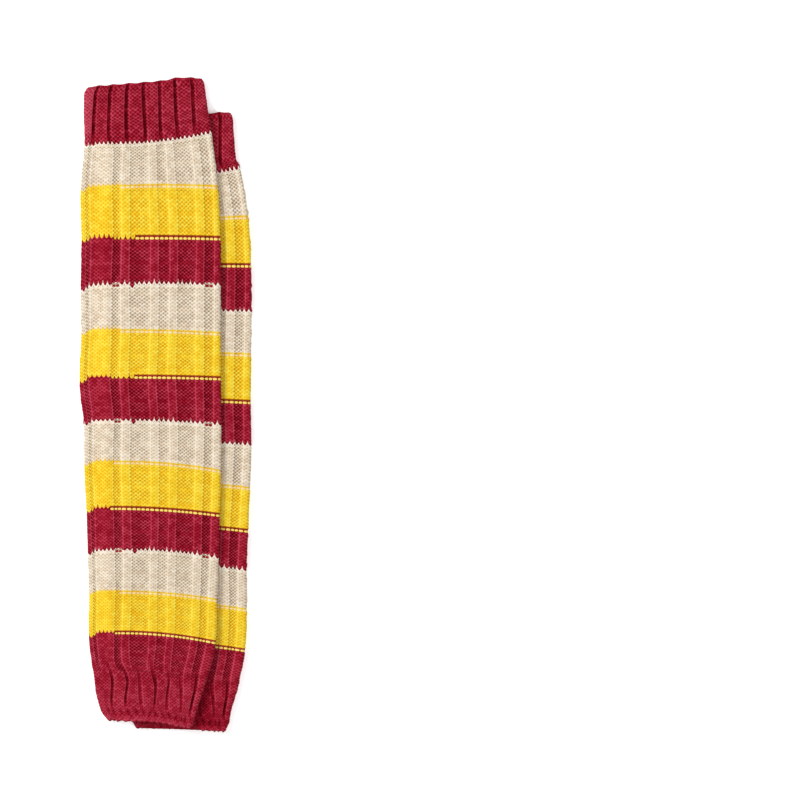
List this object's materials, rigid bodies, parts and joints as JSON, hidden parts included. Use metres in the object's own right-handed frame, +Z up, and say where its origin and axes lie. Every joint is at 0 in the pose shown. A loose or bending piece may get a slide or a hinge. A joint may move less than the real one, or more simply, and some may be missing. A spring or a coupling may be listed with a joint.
{
  "type": "pair of leg warmers",
  "caption": "Striped rib-knit leg warmers lying flat, one on the other, each a long flattened tube with a ribbed cuff at its top and bottom.",
  "frame": {"origin": "centre of the pair's bounding box, on the surface it lies on", "axes": "+X to the right across the pair, +Y along it towards the top cuffs, +Z up from the surface"},
  "size_m": [0.1166, 0.4452, 0.0108],
  "materials": {
    "red_rib_knit": "deep red acrylic rib knit, matt and slightly fuzzy",
    "striped_knit": "beige, yellow and deep red stripes in acrylic broken-rib knit, matt and slightly fuzzy"
  },
  "bodies": {
    "root": {"upper_top_cuff": "red_rib_knit", "upper_leg": "striped_knit", "upper_bottom_cuff": "red_rib_knit", "lower_top_cuff": "red_rib_knit", "lower_leg": "striped_knit", "lower_bottom_cuff": "red_rib_knit"}
  },
  "joints": []
}
